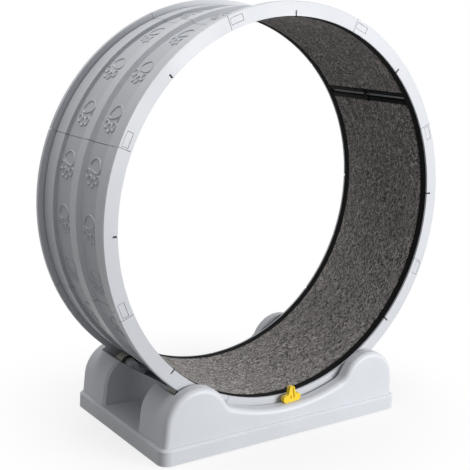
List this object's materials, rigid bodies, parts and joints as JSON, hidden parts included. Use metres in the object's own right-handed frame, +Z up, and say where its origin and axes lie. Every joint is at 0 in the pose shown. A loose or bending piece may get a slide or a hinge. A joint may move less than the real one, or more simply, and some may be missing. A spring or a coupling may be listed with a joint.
{
  "type": "cat exercise wheel",
  "caption": "Large upright running wheel for a cat: a wide ring of snapped segments lined with carpet, turning on rollers in a humped moulded base, with a lock pin.",
  "frame": {"origin": "on the floor under the centre of the base", "axes": "+Z up, the drum's axis along Y, the front with the lock pin at -Y, +X to the right seen from the front"},
  "size_m": [0.8, 0.352, 0.846],
  "materials": {
    "drum_plastic": "satin moulded, light bluish grey",
    "base_plastic": "satin moulded, light grey",
    "carpet": "heathered ribbed carpet",
    "black_binding": "woven tape",
    "black_rubber": "matte",
    "cream_nylon": "smooth turned",
    "steel": "zinc plated",
    "yellow_plastic": "smooth moulded"
  },
  "bodies": {
    "base": {"base_shell": "base_plastic", "rubber_feet": "black_rubber", "roller_bracket_back_left": "base_plastic", "roller_bracket_back_right": "base_plastic", "roller_bracket_front_left": "base_plastic", "roller_bracket_front_right": "base_plastic"},
    "drum": {"drum_segment_1": "drum_plastic", "drum_segment_2": "drum_plastic", "drum_segment_3": "drum_plastic", "drum_segment_4": "drum_plastic", "drum_segment_5": "drum_plastic", "drum_segment_6": "drum_plastic", "drum_segment_7": "drum_plastic", "drum_segment_8": "drum_plastic", "mat_binding_back": "black_binding", "mat_binding_front": "black_binding", "mat_end_binding_lower": "black_binding", "mat_end_binding_upper": "black_binding", "mat_tie": "black_binding", "running_mat": "carpet"},
    "lock_pin": {"lock_pin": "yellow_plastic"},
    "roller_back_left": {"roller_hub_back_left": "cream_nylon", "roller_rings_back_left": "black_rubber", "roller_axle_back_left": "steel"},
    "roller_back_right": {"roller_hub_back_right": "cream_nylon", "roller_rings_back_right": "black_rubber", "roller_axle_back_right": "steel"},
    "roller_front_left": {"roller_hub_front_left": "cream_nylon", "roller_rings_front_left": "black_rubber", "roller_axle_front_left": "steel"},
    "roller_front_right": {"roller_hub_front_right": "cream_nylon", "roller_rings_front_right": "black_rubber", "roller_axle_front_right": "steel"}
  },
  "joints": [
    {"name": "drum_spin", "type": "hinge", "parent": "base", "child": "drum", "pos_m": [0, 0, 0.446], "axis": [0, 1, 0], "continuous": true},
    {"name": "roller_spin_back_left", "type": "hinge", "parent": "base", "child": "roller_back_left", "pos_m": [-0.21744, 0.104, 0.10337], "axis": [0, 1, 0], "continuous": true},
    {"name": "roller_spin_back_right", "type": "hinge", "parent": "base", "child": "roller_back_right", "pos_m": [0.21744, 0.104, 0.10337], "axis": [0, 1, 0], "continuous": true},
    {"name": "roller_spin_front_left", "type": "hinge", "parent": "base", "child": "roller_front_left", "pos_m": [-0.21744, -0.104, 0.10337], "axis": [0, 1, 0], "continuous": true},
    {"name": "roller_spin_front_right", "type": "hinge", "parent": "base", "child": "roller_front_right", "pos_m": [0.21744, -0.104, 0.10337], "axis": [0, 1, 0], "continuous": true},
    {"name": "lock_pin_slide", "type": "slide", "parent": "base", "child": "lock_pin", "axis": [0, 1, 0], "range_m": [0, 0.005]}
  ],
  "couplings": [
    {"joint": "roller_spin_back_left", "follows": "drum_spin", "ratio": -23.576},
    {"joint": "roller_spin_back_right", "follows": "drum_spin", "ratio": -23.576},
    {"joint": "roller_spin_front_left", "follows": "drum_spin", "ratio": -23.576},
    {"joint": "roller_spin_front_right", "follows": "drum_spin", "ratio": -23.576}
  ]
}
